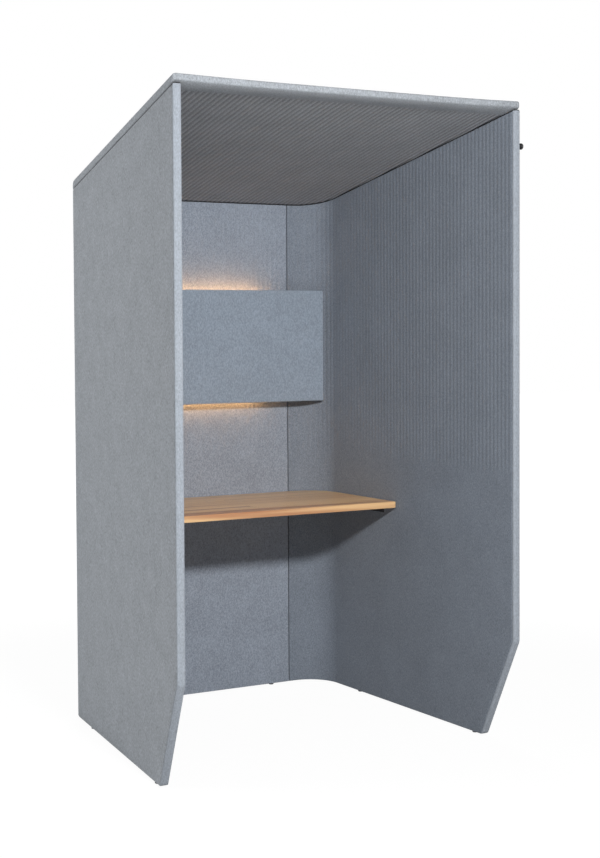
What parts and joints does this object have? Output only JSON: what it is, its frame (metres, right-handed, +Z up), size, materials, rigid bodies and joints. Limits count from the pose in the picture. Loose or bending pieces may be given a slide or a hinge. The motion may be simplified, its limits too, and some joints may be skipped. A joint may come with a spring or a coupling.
{
  "type": "acoustic work booth",
  "caption": "Felt-lined acoustic work booth with spreading side walls, a roof that rises to the open front, a fitted wooden desk and a back-lit wall panel.",
  "frame": {"origin": "centre of the bounding box at floor level, under the middle of the booth and its coat peg", "axes": "+Z up, the open side faces -Y, +X to the right of someone looking in"},
  "size_m": [1.2558, 1.182, 2.1154],
  "materials": {
    "outer_felt": "melange felt, smooth",
    "inner_felt": "melange felt, grooved",
    "ceiling_felt": "melange felt, grooved",
    "edge_felt": "melange felt, sewn edging",
    "panel_felt": "melange felt over board",
    "board": "dark-dyed plywood",
    "gasket": "matt black",
    "pin": "raw beech",
    "glide": "moulded grey",
    "desk_wood": "oiled edge-glued board",
    "bracket": "powder coated",
    "screw": "zinc plated",
    "aluminium": "anodised",
    "lamp_tape": "white tape",
    "diffuser": "opal, warm light behind it",
    "driver": "moulded",
    "inlet": "moulded black",
    "peg": "satin black"
  },
  "bodies": {
    "booth": {"back_desk_screw_1": "screw", "back_desk_screw_2": "screw", "back_wall_board": "board", "back_wall_cover": "outer_felt", "back_wall_lower_liner": "inner_felt", "back_wall_ribbed_liner": "inner_felt", "back_wall_screw_1": "screw", "back_wall_screw_2": "screw", "ceiling_liner": "ceiling_felt", "coat_peg": "peg", "desk_bracket_back": "bracket", "desk_bracket_left": "bracket", "desk_bracket_right": "bracket", "desk_top": "desk_wood", "left_desk_screw_1": "screw", "left_desk_screw_2": "screw", "left_edge_band": "edge_felt", "left_seam_tongue": "pin", "left_wall_board": "board", "left_wall_cover": "outer_felt", "left_wall_lower_liner": "inner_felt", "left_wall_ribbed_liner": "inner_felt", "left_wall_screw_1": "screw", "left_wall_screw_2": "screw", "panel_spacer_rail": "aluminium", "power_inlet": "inlet", "right_desk_screw_1": "screw", "right_desk_screw_2": "screw", "right_edge_band": "edge_felt", "right_seam_tongue": "pin", "right_wall_board": "board", "right_wall_cover": "outer_felt", "right_wall_lower_liner": "inner_felt", "right_wall_ribbed_liner": "inner_felt", "right_wall_screw_1": "screw", "right_wall_screw_2": "screw", "roof_board": "board", "roof_cover": "outer_felt", "roof_dowel_left_front": "pin", "roof_dowel_left_rear": "pin", "roof_dowel_right_front": "pin", "roof_dowel_right_rear": "pin", "roof_gasket": "gasket", "wall_hook_rail": "aluminium"},
    "panel": {"light_channel_bottom": "aluminium", "light_channel_top": "aluminium", "light_diffuser_bottom": "diffuser", "light_diffuser_top": "diffuser", "light_driver": "driver", "light_tape_bottom": "lamp_tape", "light_tape_top": "lamp_tape", "panel_board": "board", "panel_felt": "panel_felt", "panel_hook_rail": "aluminium"},
    "glide_back_left": {"levelling_glide_back_left": "glide"},
    "glide_back_right": {"levelling_glide_back_right": "glide"},
    "glide_left_front": {"levelling_glide_left_front": "glide"},
    "glide_left_rear": {"levelling_glide_left_rear": "glide"},
    "glide_right_front": {"levelling_glide_right_front": "glide"},
    "glide_right_rear": {"levelling_glide_right_rear": "glide"}
  },
  "joints": [
    {"name": "panel_lift", "type": "slide", "parent": "booth", "child": "panel", "axis": [0, 0, 1], "range_m": [0, 0.018]},
    {"name": "glide_back_left_turn", "type": "hinge", "parent": "booth", "child": "glide_back_left", "pos_m": [-0.30701, 0.5797, 0], "axis": [0, 0, 1], "range_deg": [-360, 360]},
    {"name": "glide_back_right_turn", "type": "hinge", "parent": "booth", "child": "glide_back_right", "pos_m": [0.27617, 0.5797, 0], "axis": [0, 0, 1], "range_deg": [-360, 360]},
    {"name": "glide_left_front_turn", "type": "hinge", "parent": "booth", "child": "glide_left_front", "pos_m": [-0.60111, -0.37134, 0], "axis": [0, 0, 1], "range_deg": [-360, 360]},
    {"name": "glide_left_rear_turn", "type": "hinge", "parent": "booth", "child": "glide_left_rear", "pos_m": [-0.55146, 0.311, 0], "axis": [0, 0, 1], "range_deg": [-360, 360]},
    {"name": "glide_right_front_turn", "type": "hinge", "parent": "booth", "child": "glide_right_front", "pos_m": [0.57027, -0.37134, 0], "axis": [0, 0, 1], "range_deg": [-360, 360]},
    {"name": "glide_right_rear_turn", "type": "hinge", "parent": "booth", "child": "glide_right_rear", "pos_m": [0.52062, 0.311, 0], "axis": [0, 0, 1], "range_deg": [-360, 360]}
  ]
}
